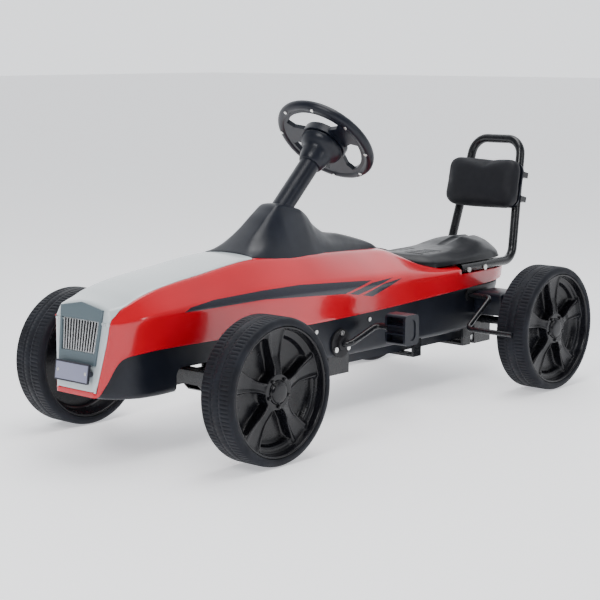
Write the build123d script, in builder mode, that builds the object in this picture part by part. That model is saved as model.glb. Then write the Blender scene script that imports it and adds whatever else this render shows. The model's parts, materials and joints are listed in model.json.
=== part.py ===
"""Pedal go kart for a young child: a steel spine frame under a moulded body, a bent-bar pedal
crank, a chain-driven live rear axle, steered front wheels, a saddle with a padded backrest and a
brake bar in front of the rear tyres.

Frame: millimetres, +Z up, the kart's front faces -Y, the driver's left side is +X, and the origin
is on the ground below the middle of the kart. Angles are in degrees.
"""

import os
from math import cos, radians, sin

from build123d import *

# ---------------------------------------------------------------- driving dimensions
wheel_r = 125.0
tyre_width = 70.0
wheel_x = 235.0
front_axle_y = -390.0
rear_axle_y = 440.0
axle_z = wheel_r
gap = 0.05

# wheels
rim_r = 108.5
flange_r = 111.0
hub_r = 30.0
bush_r = 9.0
cap_r = 18.0
cap_face = 31.5
spoke_count = 5
spoke_angle = 90.0
stub_r = 5.0
rear_axle_r = 8.0

# front suspension and steering
kingpin_x = 150.0
kingpin_r = 5.0
yoke_half = 17.0
yoke_plate = 5.0
arm_reach = 60.0
tie_z = 120.0
tie_r = 5.0
beam_bolt_x = 9.0
steer_tilt = 44.0
steer_y = 30.0
steer_z = 512.0
ring_r = 93.0
ring_tube_r = 9.5
core_depth = 12.0
spoke_angles = (90, 197, 343)
core_r = 46.0
ring_screws = 8
ring_screw_angle = -74.0
column_r = 11.0
sleeve_r = 19.5
pitman_r = 42.0
pitman_depth = 498.0
ball_r = 6.0

# frame
spine_half = 20.0
spine_low = 81.0
spine_top = 113.0
spine_front_y = -412.0
spine_nose_low = 104.0
spine_rear_y = 472.0
side_plate_x = 81.0
plate_t = 5.0
tube_wall = 3.0

# drive
crank_y = -25.0
crank_z = 136.0
crank_arm = 85.5
crank_angle = 18.0
crank_arm_x = 107.0
bar_r = 6.0
chain_x = 40.0
drive_r = 41.0
rear_r = 29.5
chain_t = 6.0
pedal_inner_x = 144.0
pedal_outer_x = 192.0
bearing_bolt_r = 20.0
drive_teeth = 20
rear_teeth = 14

# body
skin = 3.0
nose_low = (-602.5, 120.0)
nose_high = (-582.0, 262.0)
plate_stand_off = 9.7
plate_thickness = 3.5
plate_screw_places = ((-34.0, 0.0), (34.0, 0.0))
screw_head = 1.3
hood_rear_y = -238.0
tub_low = 107.0
tub_top = 200.0
tub_half = 84.0
wing_x = 155.0
tub_screw_places = ((-93.0, 166.0), (62.0, 171.0))

# backrest
tube_r = 9.5
leg_x = 83.0
leg_z = 240.0
leg_front_y = 352.0
leg_rear_y = 540.0
loop_x = 60.0
loop_y = 603.3
loop_z = 490.5
pad_width = 182.0
pad_height = 108.0
pad_depth = 32.0
pad_z = 392.0
board_t = 4.0
pad_screw_places = ((-40.0, 0.0), (40.0, 0.0))
seat_bar_ys = (372.0, 428.0)
seat_bar_z = 236.0

# brake
brake_y = 385.0
brake_z = 182.0
brake_bar_y = 303.0
brake_bar_z = 127.5
brake_bar_r = 5.0
brake_arm_x = 140.0
brake_bush_r = 8.0
brake_lever_x = 122.0

os.makedirs("parts", exist_ok=True)


def write(piece, name):
    """Label a finished piece and write it to its own STEP file."""
    piece.label = name
    export_step(piece, f"parts/{name}.step")


def across(x):
    """The plane across the kart at x: its x axis runs along Y and its y axis along Z."""
    return Plane.YZ.offset(x)


def station(y):
    """The upright plane at y: its x axis runs along X and its y axis along Z."""
    return Plane.XZ.offset(-y)


def rod_x(x0, x1, y, z, r):
    """A round rod along X."""
    with BuildPart() as rod:
        with BuildSketch(across(x0)):
            with Locations((y, z)):
                Circle(r)
        extrude(amount=x1 - x0)
    return rod.part


def rod_z(x, y, z0, z1, r):
    """An upright round rod."""
    with BuildPart() as rod:
        with BuildSketch(Plane.XY.offset(z0)):
            with Locations((x, y)):
                Circle(r)
        extrude(amount=z1 - z0)
    return rod.part


def block(x0, x1, y0, y1, z0, z1):
    """A rectangular block between two corners."""
    with BuildPart() as made:
        with Locations(((x0 + x1) / 2, (y0 + y1) / 2, (z0 + z1) / 2)):
            Box(x1 - x0, y1 - y0, z1 - z0)
    return made.part


def group(*pieces):
    """Separate solids that share one node."""
    return Compound(children=[solid for piece in pieces for solid in piece.solids()])


def both_sides(piece):
    """A piece and its mirror image across the kart's middle plane."""
    return group(piece, mirror(piece, about=Plane.YZ))


def turned(point, angle):
    """A sketch point turned about the sketch's origin."""
    x, y = point
    return (x * cos(radians(angle)) - y * sin(radians(angle)),
            x * sin(radians(angle)) + y * cos(radians(angle)))


def side_prism(points, x0, x1):
    """A side-view outline of (y, z) points, extruded from x0 to x1."""
    with BuildPart() as prism:
        with BuildSketch(across(x0)):
            with BuildLine():
                Polyline(*points, close=True)
            make_face()
        extrude(amount=x1 - x0)
    return prism.part


def plan_prism(half_points, z0, z1):
    """A plan outline given by its +X half as (x, y) points, extruded from z0 to z1."""
    with BuildPart() as prism:
        with BuildSketch(Plane.XY.offset(z0)):
            with BuildLine():
                Polyline(*half_points, *[(-x, y) for x, y in reversed(half_points)], close=True)
            make_face()
        extrude(amount=z1 - z0)
    return prism.part


def loft_ribs(ribs, inset=0.0):
    """Loft through upright ribs: y, three half-width and height pairs from the bottom up, and
    the height on the middle line. The inset moves every rib's outline inwards."""
    with BuildPart() as body:
        for y, low, mid, high, crown in ribs:
            (x0, z0), (x1, z1), (x2, z2) = low, mid, high
            x0, x1, x2 = x0 - inset, x1 - inset, x2 - inset
            z2, top = z2 - inset, crown - inset
            bulge = ((x1 + x2) / 2 + 2, (z1 + z2) / 2 + 2)
            with BuildSketch(station(y)):
                with BuildLine():
                    Line((-x0, z0), (x0, z0))
                    Line((x0, z0), (x1, z1))
                    ThreePointArc((x1, z1), bulge, (x2, z2))
                    ThreePointArc((x2, z2), (0, top), (-x2, z2))
                    ThreePointArc((-x2, z2), (-bulge[0], bulge[1]), (-x1, z1))
                    Line((-x1, z1), (-x0, z0))
                make_face()
        loft()
    return body.part


# ---------------------------------------------------------------- wheels
# A wheel is made with its axis along X, its outer side towards +X and its middle plane at x = 0.

def make_tyre():
    """Solid tyre with a flat tread, round shoulders and upright walls."""
    half = tyre_width / 2
    with BuildPart() as tyre:
        with BuildSketch(Plane.XY):
            with BuildLine():
                Polyline((half, wheel_r - 12), (half, flange_r), (30.5, flange_r), (30, rim_r),
                         (-30, rim_r), (-30.5, flange_r), (-half, flange_r),
                         (-half, wheel_r - 12))
                ThreePointArc((-half, wheel_r - 12), (3.5 - half, wheel_r - 3.5),
                              (12 - half, wheel_r))
                Line((12 - half, wheel_r), (half - 12, wheel_r))
                ThreePointArc((half - 12, wheel_r), (half - 3.5, wheel_r - 3.5),
                              (half, wheel_r - 12))
            make_face()
        revolve(axis=Axis.X)
    return tyre.part


def make_rim(bore_r):
    """Barrel, recessed dish, hub with lugs, and five raised spokes that widen outwards."""
    with BuildPart() as rim:
        with BuildSketch(Plane.XY):
            with BuildLine():
                Polyline((-30, rim_r), (30, rim_r), (30.5, flange_r), (33, flange_r),
                         (33, 106), (24, 104), (9, 98), (7, hub_r), (24, hub_r - 1),
                         (26.5, hub_r - 4), (26.5, bore_r), (-24, bore_r), (-24, 18),
                         (3, hub_r), (5, 99), (4, 105), (-33, 106), (-33, flange_r),
                         (-30.5, flange_r), close=True)
            make_face()
        revolve(axis=Axis.X)
        for step in range(spoke_count):
            angle = spoke_angle + step * 360 / spoke_count
            with BuildSketch(across(6)):
                with BuildLine():
                    Polyline(*(turned(point, angle) for point in
                               ((24, -9), (62, -12), (99, -27), (104.6, -20), (104.6, 20),
                                (99, 27), (62, 12), (24, 9))), close=True)
                make_face()
            extrude(amount=14)
        with BuildSketch(across(26)):
            with PolarLocations(22.5, spoke_count):
                Circle(3)
        extrude(amount=2.5)
        with BuildSketch(across(-40)):
            Circle(bore_r)
        extrude(amount=80, mode=Mode.SUBTRACT)
    return rim.part


def make_cap():
    """Round hub cap with a short spigot that clips into the hub."""
    with BuildPart() as cap:
        with BuildSketch(across(28.6)):
            Circle(cap_r)
        extrude(amount=cap_face - 28.6)
        fillet(cap.edges().group_by(Axis.X)[-1], 2)
        with BuildSketch(across(26.5)):
            Circle(bush_r)
        extrude(amount=2.1)
    return cap.part


def make_bushes():
    """The two plastic bushes of a front wheel, pressed into the hub's ends."""
    with BuildPart() as bushes:
        for x0 in (-24, 8):
            with BuildSketch(across(x0)):
                Circle(bush_r)
                Circle(stub_r + gap, mode=Mode.SUBTRACT)
            extrude(amount=14)
    return bushes.part


def place_wheel(piece, y, side):
    """Move a wheel piece to its axle, on the left for side 1 and the right for side -1."""
    moved = Pos(wheel_x, y, axle_z) * piece
    return moved if side == 1 else mirror(moved, about=Plane.YZ)


tyre = make_tyre()
front_rim = make_rim(bush_r)
rear_rim = make_rim(rear_axle_r)
hub_cap = make_cap()
bushes = make_bushes()
for side, hand in ((1, "left"), (-1, "right")):
    write(place_wheel(tyre, front_axle_y, side), f"front_{hand}_tyre")
    write(place_wheel(front_rim, front_axle_y, side), f"front_{hand}_rim")
    write(place_wheel(hub_cap, front_axle_y, side), f"front_{hand}_cap")
    write(place_wheel(bushes, front_axle_y, side), f"front_{hand}_bushes")
    write(place_wheel(tyre, rear_axle_y, side), f"rear_{hand}_tyre")
    write(place_wheel(rear_rim, rear_axle_y, side), f"rear_{hand}_rim")
    write(place_wheel(hub_cap, rear_axle_y, side), f"rear_{hand}_cap")

# ---------------------------------------------------------------- front axle and knuckles
beam_half = 12.0
beam_x = kingpin_x - 26.0

with BuildPart() as front_axle_beam:
    with BuildSketch(across(-beam_x)):
        with Locations((front_axle_y, axle_z)):
            Rectangle(2 * beam_half, 2 * beam_half)
            Rectangle(2 * beam_half - 4, 2 * beam_half - 4, mode=Mode.SUBTRACT)
    extrude(amount=2 * beam_x)
    for hand in (-1, 1):
        add(block(*sorted((hand * (beam_x - 2), hand * (beam_x + 3))), front_axle_y - 14,
                  front_axle_y + 14, axle_z - yoke_half - yoke_plate, axle_z + yoke_half + yoke_plate))
        for z0 in (axle_z - yoke_half - yoke_plate, axle_z + yoke_half):
            with BuildSketch(Plane.XY.offset(z0)):
                with Locations((hand * (kingpin_x - 12), front_axle_y)):
                    Rectangle(24, 28)
                with Locations((hand * kingpin_x, front_axle_y)):
                    Circle(14)
            extrude(amount=yoke_plate)
            add(rod_z(hand * kingpin_x, front_axle_y, z0 - 1, z0 + yoke_plate + 1, kingpin_r),
                mode=Mode.SUBTRACT)
        add(rod_z(hand * beam_bolt_x, front_axle_y, spine_low, axle_z + 20, 4), mode=Mode.SUBTRACT)
write(front_axle_beam.part, "front_axle_beam")

kingpin_low = axle_z - yoke_half - yoke_plate
kingpin_high = axle_z + yoke_half + yoke_plate
kingpin = rod_z(kingpin_x, front_axle_y, kingpin_low - 4, kingpin_high, kingpin_r)
with BuildPart() as kingpin_head:
    with BuildSketch(Plane.XY.offset(kingpin_high)):
        with Locations((kingpin_x, front_axle_y)):
            RegularPolygon(9, 6)
    extrude(amount=6)
    chamfer(kingpin_head.faces().sort_by(Axis.Z)[-1].edges(), 1)
with BuildPart() as kingpin_nut:
    with BuildSketch(Plane.XY.offset(kingpin_low - 7)):
        with Locations((kingpin_x, front_axle_y)):
            RegularPolygon(9, 6)
    extrude(amount=7)
    add(kingpin, mode=Mode.SUBTRACT)
write(both_sides(group(kingpin + kingpin_head.part, kingpin_nut.part)), "kingpin_bolts")

beam_bolt_top = axle_z + beam_half
beam_nut_low = spine_top - tube_wall - 6
with BuildPart() as beam_bolts:
    for x in (-beam_bolt_x, beam_bolt_x):
        add(rod_z(x, front_axle_y, beam_nut_low, beam_bolt_top, 4))
        with BuildSketch(Plane.XY.offset(beam_bolt_top), Plane.XY.offset(beam_nut_low)):
            with Locations((x, front_axle_y)):
                RegularPolygon(7, 6)
        extrude(amount=6)
write(beam_bolts.part, "beam_bolts")

stub_end = wheel_x + 26.0
with BuildPart() as knuckle:
    add(rod_z(kingpin_x, front_axle_y, axle_z - yoke_half + 0.3, axle_z + yoke_half - 0.3, 13))
    with BuildSketch(across(kingpin_x + 8)):
        with Locations((front_axle_y, axle_z)):
            Circle(10)
    extrude(amount=wheel_x - 26 - kingpin_x - 8)
    add(rod_x(wheel_x - 26, stub_end, front_axle_y, axle_z, stub_r))
    with BuildSketch(Plane.XY.offset(tie_z + 5.2)):
        with Locations((kingpin_x, front_axle_y + arm_reach / 2)):
            Rectangle(20, arm_reach)
        with Locations((kingpin_x, front_axle_y + arm_reach)):
            Circle(10)
    extrude(amount=6)
    add(rod_z(kingpin_x, front_axle_y + arm_reach, tie_z - 9, tie_z + 6, 4))
    add(rod_z(kingpin_x, front_axle_y + arm_reach, tie_z - 9, tie_z - 5.2, 7))
    add(rod_z(kingpin_x, front_axle_y, 0, 250, kingpin_r + gap), mode=Mode.SUBTRACT)
write(knuckle.part, "knuckle_left")
write(mirror(knuckle.part, about=Plane.YZ), "knuckle_right")

with BuildPart() as stub_nut:
    with BuildSketch(across(wheel_x + 22.1)):
        with Locations((front_axle_y, axle_z)):
            Circle(8.5)
            Circle(stub_r, mode=Mode.SUBTRACT)
    extrude(amount=1.4)
    with BuildSketch(across(wheel_x + 23.5)):
        with Locations((front_axle_y, axle_z)):
            RegularPolygon(8, 6)
            Circle(stub_r, mode=Mode.SUBTRACT)
    extrude(amount=2.8)
write(stub_nut.part, "axle_nut_left")
write(mirror(stub_nut.part, about=Plane.YZ), "axle_nut_right")

tie_y = front_axle_y + arm_reach
steer_axis = Vector(0, cos(radians(steer_tilt)), sin(radians(steer_tilt)))
steer_centre = Vector(0, steer_y, steer_z)
steer_plane = Plane(origin=steer_centre, x_dir=(1, 0, 0), z_dir=steer_axis)
ball = steer_plane.from_local_coords(Vector(0, pitman_r, -pitman_depth))
with BuildPart() as tie_rod:
    add(rod_x(-kingpin_x, kingpin_x, tie_y, tie_z, tie_r))
    for x in (-kingpin_x, kingpin_x):
        add(rod_z(x, tie_y, tie_z - 5, tie_z + 5, 9))
        add(rod_z(x, tie_y, tie_z - 10, tie_z + 10, 4 + gap), mode=Mode.SUBTRACT)
    add(block(-8, 8, tie_y - 5, ball.Y + 5, tie_z - 4, tie_z))
    add(rod_z(0, ball.Y, tie_z - 2, ball.Z, 3.5))
    with Locations(ball):
        Sphere(ball_r)
write(tie_rod.part, "tie_rod")

# ---------------------------------------------------------------- frame
def saddle_bracket(y0, y1, top):
    """A strap under the spine with an upright plate at each end."""
    strap = block(-side_plate_x, side_plate_x, y0, y1, spine_low - plate_t, spine_low)
    plate = block(side_plate_x - plate_t, side_plate_x, y0, y1, spine_low - plate_t, top)
    return strap + plate + mirror(plate, about=Plane.YZ)


lower_bush_depth = 440.0
with BuildPart() as main_frame:
    add(block(-spine_half, spine_half, spine_front_y, spine_rear_y, spine_low, spine_top))
    add(block(tube_wall - spine_half, spine_half - tube_wall, spine_front_y - 1, spine_rear_y + 1,
              spine_low + tube_wall, spine_top - tube_wall), mode=Mode.SUBTRACT)
    add(side_prism(((spine_front_y - 1, spine_low - 1), (spine_front_y - 1, spine_nose_low),
                    (-346, spine_nose_low), (-322, spine_low - 1)), -spine_half - 1, spine_half + 1),
        mode=Mode.SUBTRACT)
    add(saddle_bracket(crank_y - 30, crank_y + 30, 176))
    add(saddle_bracket(205, 230, 150))
    add(saddle_bracket(brake_y - 13, brake_y + 13, brake_z + 14))
    add(saddle_bracket(rear_axle_y - 28, rear_axle_y + 28, 152))
    for x0 in (-spine_half - 2, spine_half - 2):
        add(side_prism(((-283, spine_top - 20), (-246, spine_top - 20), (-262, 226), (-304, 226)),
                       x0, x0 + 4))
    for y in seat_bar_ys:
        add(block(-24, 24, y - 2.5, y + 2.5, spine_top - 1, seat_bar_z - 5))
        add(block(tube_r - leg_x, leg_x - tube_r, y - 6, y + 6, seat_bar_z - 6, seat_bar_z + 6))
        add(rod_x(-leg_x, leg_x, y, seat_bar_z, 3), mode=Mode.SUBTRACT)
    for hand in (-1, 1):
        x0, x1 = sorted((hand * 50, hand * side_plate_x))
        add(rod_x(x0, x1, crank_y, crank_z, bar_r + 2), mode=Mode.SUBTRACT)
        add(rod_x(x0, x1, rear_axle_y, axle_z, rear_axle_r + 1), mode=Mode.SUBTRACT)
        add(rod_x(x0, x1, brake_y, brake_z, brake_bush_r), mode=Mode.SUBTRACT)
        with BuildSketch(across(x0)):
            with Locations((crank_y, crank_z)):
                with PolarLocations(bearing_bolt_r, 3, start_angle=90):
                    Circle(3)
        extrude(amount=x1 - x0, mode=Mode.SUBTRACT)
        add(rod_z(hand * beam_bolt_x, front_axle_y, 60, 150, 4), mode=Mode.SUBTRACT)
    with BuildSketch(steer_plane.offset(-lower_bush_depth - 20)):
        Circle(15)
    extrude(amount=40, mode=Mode.SUBTRACT)
write(main_frame.part, "main_frame")

column_bushes = []
for depth, length, outer_r in ((lower_bush_depth, 30, 15), (90, 24, sleeve_r - 6)):
    with BuildPart() as column_bush:
        with BuildSketch(steer_plane.offset(-depth - length / 2)):
            Circle(outer_r)
            Circle(column_r + gap, mode=Mode.SUBTRACT)
        extrude(amount=length)
    column_bushes.append(column_bush.part)
write(group(*column_bushes), "column_bushes")

# ---------------------------------------------------------------- rear axle
rear_bearing = rod_x(60, side_plate_x - plate_t, rear_axle_y, axle_z, 20)
rear_bearing -= rod_x(50, 90, rear_axle_y, axle_z, rear_axle_r + gap)
write(both_sides(rear_bearing), "rear_axle_bearings")

rear_axle_end = wheel_x + 25.5
write(rod_x(-rear_axle_end, rear_axle_end, rear_axle_y, axle_z, rear_axle_r), "rear_axle")

with BuildPart() as axle_collar:
    with BuildSketch(across(wheel_x - 32)):
        with Locations((rear_axle_y, axle_z)):
            Circle(13)
            Circle(rear_axle_r, mode=Mode.SUBTRACT)
    extrude(amount=8)
write(both_sides(axle_collar.part), "rear_axle_collars")


def sprocket(y, z, tip_r, teeth, bore):
    """Flat sprocket with rounded tooth gaps and a hub."""
    with BuildPart() as made:
        with BuildSketch(across(chain_x - 1.5)):
            with Locations((y, z)):
                Circle(tip_r)
                with PolarLocations(tip_r + 0.8, teeth):
                    Circle(3.2, mode=Mode.SUBTRACT)
        extrude(amount=3)
        with BuildSketch(across(chain_x - 8)):
            with Locations((y, z)):
                Circle(bore + 7)
        extrude(amount=12)
        with BuildSketch(across(chain_x - 20)):
            with Locations((y, z)):
                Circle(bore)
        extrude(amount=40, mode=Mode.SUBTRACT)
    return made.part


write(sprocket(crank_y, crank_z, drive_r, drive_teeth, bar_r), "drive_sprocket")
write(sprocket(rear_axle_y, axle_z, rear_r, rear_teeth, rear_axle_r), "rear_sprocket")


def chain_outline(front_r, back_r):
    """The outline round both sprockets: two circles and the belt between them."""
    with BuildSketch() as outline:
        with Locations((crank_y, crank_z)):
            Circle(front_r)
        with Locations((rear_axle_y, axle_z)):
            Circle(back_r)
        make_hull()
    return outline.sketch


chain_face = chain_outline(drive_r + 1 + chain_t, rear_r + 1 + chain_t)
chain_face -= chain_outline(drive_r + 1, rear_r + 1)
with BuildPart() as chain:
    with BuildSketch(across(chain_x - 4)):
        add(chain_face)
    extrude(amount=8)
write(chain.part, "chain")

guard_front_r = drive_r + chain_t + 3
guard_back_r = rear_r + chain_t + 3
with BuildPart() as chain_guard:
    with BuildSketch(across(chain_x - 9)):
        add(chain_outline(guard_front_r + 1.6, guard_back_r + 1.6))
    extrude(amount=18)
    with BuildSketch(across(chain_x - 9)):
        add(chain_outline(guard_front_r, guard_back_r))
    extrude(amount=16, mode=Mode.SUBTRACT)
    for y, z in ((crank_y - 22, crank_z + 28), (crank_y + 22, crank_z + 28)):
        add(rod_x(chain_x + 8, side_plate_x - plate_t, y, z, 5))
    for y, z in ((rear_axle_y - 18, axle_z + 23), (rear_axle_y + 18, axle_z + 23)):
        add(rod_x(chain_x + 8, side_plate_x - plate_t, y, z, 4))
    add(rod_x(chain_x, 90, crank_y, crank_z, 14), mode=Mode.SUBTRACT)
    add(rod_x(chain_x, 90, rear_axle_y, axle_z, 16), mode=Mode.SUBTRACT)
write(chain_guard.part, "chain_guard")

# ---------------------------------------------------------------- crank and pedals
spindle_y = crank_y + crank_arm * cos(radians(crank_angle))
spindle_z = crank_z + crank_arm * sin(radians(crank_angle))
far_y = 2 * crank_y - spindle_y
far_z = 2 * crank_z - spindle_z
spindle_end = pedal_outer_x - 4
with BuildPart() as crankshaft:
    with BuildLine() as crank_path:
        FilletPolyline((-spindle_end, far_y, far_z), (-crank_arm_x, far_y, far_z),
                       (-crank_arm_x, crank_y, crank_z), (crank_arm_x, crank_y, crank_z),
                       (crank_arm_x, spindle_y, spindle_z), (spindle_end, spindle_y, spindle_z),
                       radius=13)
    with BuildSketch(Plane(origin=crank_path.line @ 0, z_dir=crank_path.line % 0)):
        Circle(bar_r)
    sweep()
    for x, y, z in ((pedal_inner_x - 6, spindle_y, spindle_z), (3 - pedal_inner_x, far_y, far_z)):
        add(rod_x(x, x + 3, y, z, 11))
write(crankshaft.part, "crankshaft")

pedal_depth = 42.0
pedal_height = 58.0


def make_pedal(side, y, z):
    """Block pedal with bowed treads, open ribbed pockets and a sleeve round its spindle."""
    with BuildPart() as pedal:
        with BuildSketch(across(pedal_inner_x)):
            with Locations((y, z)):
                RectangleRounded(pedal_depth, pedal_height, 9)
        extrude(amount=pedal_outer_x - pedal_inner_x)
        for hand in (-1, 1):
            y0, y1 = sorted((y + hand * 6, y + hand * 30))
            for low, high in ((9, 24), (-24, -9)):
                add(block(pedal_inner_x + 4, pedal_outer_x - 5, y0, y1, z + low, z + high),
                    mode=Mode.SUBTRACT)
            add(block(pedal_inner_x - 1, pedal_outer_x - 5, y0 + max(hand, 0) * 8,
                      y1 + min(hand, 0) * 8, z - 6, z + 6), mode=Mode.SUBTRACT)
        with BuildSketch(across(pedal_outer_x - 2)):
            with Locations((y, z)):
                SlotOverall(40, 22, rotation=90)
        extrude(amount=3, mode=Mode.SUBTRACT)
        add(rod_x(pedal_inner_x - 10, pedal_outer_x - 4, y, z, bar_r + gap), mode=Mode.SUBTRACT)
    return pedal.part if side == 1 else mirror(pedal.part, about=Plane.YZ)


write(make_pedal(1, spindle_y, spindle_z), "pedal_left")
write(make_pedal(-1, far_y, far_z), "pedal_right")

with BuildPart() as crank_bearing:
    with BuildSketch(across(tub_half)):
        with Locations((crank_y, crank_z)):
            Circle(27)
    extrude(amount=4)
    with BuildSketch(across(tub_half)):
        with Locations((crank_y, crank_z)):
            Circle(13)
    extrude(amount=10)
    with BuildSketch(across(tub_half)):
        with Locations((crank_y, crank_z)):
            Circle(bar_r + gap)
            with PolarLocations(bearing_bolt_r, 3, start_angle=90):
                Circle(3)
    extrude(amount=20, mode=Mode.SUBTRACT)
write(both_sides(crank_bearing.part), "crank_bearings")

with BuildPart() as bearing_bolts:
    with BuildSketch(across(side_plate_x - plate_t - 3)):
        with Locations((crank_y, crank_z)):
            with PolarLocations(bearing_bolt_r, 3, start_angle=90):
                Circle(3)
    extrude(amount=tub_half + 7 - side_plate_x + plate_t)
    with BuildSketch(across(tub_half + 4)):
        with Locations((crank_y, crank_z)):
            with PolarLocations(bearing_bolt_r, 3, start_angle=90):
                Circle(5)
    extrude(amount=3.5)
write(both_sides(bearing_bolts.part), "crank_bearing_bolts")

# ---------------------------------------------------------------- body mouldings
# Each rib: y, lower edge, shoulder crease, top seam as (half-width, height), and the crown height.
body_ribs = (
    (-612, (40, 112), (44, 238), (34, 252), 262),
    (-590, (54, 112), (62, 240), (50, 261), 268),
    (-575, (62, 114), (73, 240), (60, 264), 273),
    (-555, (68, 118), (84, 242), (67, 268), 277),
    (-525, (77, 140), (93, 246), (68, 279), 286),
    (-470, (85, 165), (99, 250), (66, 292), 298),
    (-390, (89, 176), (102, 252), (65, 302), 307),
    (-238, (90, 178), (103, 252), (62, 317), 321),
    (-100, (90, 178), (101, 250), (60, 309), 314),
    (40, (90, 180), (100, 248), (44, 300), 305),
    (130, (90, 182), (99, 246), (32, 293), 297),
    (180, (90, 184), (99, 245), (31, 287), 291),
    (215, (90, 186), (98, 243), (46, 272), 276),
    (250, (90, 188), (98, 240), (68, 255), 258),
    (300, (90, 190), (97, 237), (82, 246), 247),
    (400, (89, 193), (96, 237), (82, 246), 247),
    (470, (84, 197), (91, 238), (79, 246), 247),
    (512, (73, 200), (79, 238), (69, 245), 246),
    (532, (60, 201), (64, 236), (56, 243), 244),
    (540, (50, 202), (54, 232), (47, 239), 240),
)
lower_edge = ((-602, 118), (-596, 121), (-586, 138), (-570, 172), (-562, 180), (-548, 184.5),
              (-480, 189), (-100, 184), (560, 205.5))
lean = (nose_high[0] - nose_low[0]) / (nose_high[1] - nose_low[1])


def nose_y(z):
    """Where the leaning front face stands at height z."""
    return nose_low[0] + lean * (z - nose_low[1])


def ahead_of_nose(depth):
    """Everything ahead of the front face, or of a plane a given depth behind it."""
    return side_prism(((-700, 50), (nose_y(50) + depth, 50), (nose_y(350) + depth, 350),
                       (-700, 350)), -150, 150)


envelope = loft_ribs(body_ribs) - ahead_of_nose(0)
cavity = loft_ribs(body_ribs, skin) - ahead_of_nose(skin) - block(-150, 150, 536, 600, 100, 300)
body_skin = envelope - cavity
body_skin -= side_prism((*lower_edge, (560, 60), (-640, 60), (-640, 118)), -150, 150)

hood_top = plan_prism(((68, -640), (68, -545), (66, -450), (62, hood_rear_y)), 255, 400)
with BuildPart() as hood_front:
    with BuildSketch(station(-565)):
        with BuildLine():
            Polyline((-49, 127), (49, 127), (68, 262), (68, 330), (-68, 330), (-68, 262), close=True)
        make_face()
    extrude(amount=80)
hood_region = hood_top + hood_front.part
grille_window = side_prism(((-640, 187), (-560, 187), (-560, 245), (-640, 245)), -45, 45)
write((body_skin & hood_region) - grille_window, "hood_panel")

column_slot = block(-22, 22, -222, -118, 280, 330)
tube_notch = block(leg_x - 12, 130, 344, 560, leg_z - 12, 260)
tube_notch += mirror(tube_notch, about=Plane.YZ)
write(body_skin - hood_region - column_slot - tube_notch, "body_shell")

tub_plan = ((44, -587), (60, -566), (72, -545), (82, -514), (86, -466), (86, -420),
            (tub_half, -330), (tub_half, 440), (71, 500), (54, 530))
tub_inner = tuple((x - skin, y + (skin if y < -580 else -skin if y > 525 else 0))
                  for x, y in tub_plan)
tub_opening = tuple((x - 16, y + (18 if y < -580 else -30 if y > 525 else 0)) for x, y in tub_plan)
with BuildPart() as lower_tub:
    add(plan_prism(tub_plan, tub_low, tub_top))
    add(plan_prism(tub_inner, tub_low + skin, tub_top + 10), mode=Mode.SUBTRACT)
    add(plan_prism(tub_opening, tub_low - 5, tub_top), mode=Mode.SUBTRACT)
    add(side_prism(((-452, 90), (-446, 138), (-432, 152), (-310, 152), (-296, 138), (-290, 90)),
                   -120, 120), mode=Mode.SUBTRACT)
    add(side_prism(((498, 90), (494, 178), (545, 215), (600, 215), (600, 90)), -120, 120),
        mode=Mode.SUBTRACT)
    add(side_prism(((490, 114), (494, 178), (532, 206), (526, 206), (491, 181), (487, 114)), -60, 60))
    for hand in (-1, 1):
        wing = block(*sorted((hand * tub_half, hand * wing_x)), 402, 478, 142, 188)
        hollow = block(*sorted((hand * tub_half, hand * (wing_x - skin))), 405, 475, 141, 185)
        add(wing - hollow)
        for y, z in tub_screw_places:
            add(rod_x(*sorted((hand * (tub_half - 14), hand * (tub_half - 2))), y, z, 5))
            add(rod_x(*sorted((hand * (tub_half - 12), hand * (tub_half + 3))), y, z, 2),
                mode=Mode.SUBTRACT)
        wall = sorted((hand * (tub_half - 5), hand * (tub_half + 3)))
        add(rod_x(*wall, crank_y, crank_z, bar_r + 2), mode=Mode.SUBTRACT)
        add(rod_x(*wall, brake_y, brake_z, brake_bush_r), mode=Mode.SUBTRACT)
        add(block(*wall, rear_axle_y - 14, rear_axle_y + 14, 90, axle_z), mode=Mode.SUBTRACT)
        add(rod_x(*wall, rear_axle_y, axle_z, 14), mode=Mode.SUBTRACT)
        with BuildSketch(across(wall[0])):
            with Locations((crank_y, crank_z)):
                with PolarLocations(bearing_bolt_r, 3, start_angle=90):
                    Circle(3)
        extrude(amount=wall[1] - wall[0], mode=Mode.SUBTRACT)
    add(main_frame.part, mode=Mode.SUBTRACT)
    add(body_skin, mode=Mode.SUBTRACT)
    add(rod_x(-side_plate_x, side_plate_x, rear_axle_y, axle_z, 20.3), mode=Mode.SUBTRACT)
write(lower_tub.part, "lower_tub")

tub_screws = []
for y, z in tub_screw_places:
    screw = rod_x(tub_half - 10, tub_half, y, z, 2) + rod_x(tub_half, tub_half + 2, y, z, 4)
    tub_screws.append(both_sides(screw))
write(group(*tub_screws), "tub_screws")

# ---------------------------------------------------------------- grille and number plate
nose_plane = Plane(origin=(0, nose_y(216), 216), x_dir=(1, 0, 0), z_dir=(0, -1, lean))
with BuildPart() as grille_frame:
    with BuildSketch(nose_plane):
        with BuildLine():
            Polyline((-45, -46), (45, -46), (52, 46), (0, 55.5), (-52, 46), close=True)
        make_face()
        with BuildLine():
            Polyline((-41, -27), (41, -27), (46, 27), (-46, 27), close=True)
        make_face(mode=Mode.SUBTRACT)
    extrude(amount=4)
write(grille_frame.part, "grille_frame")

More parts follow.
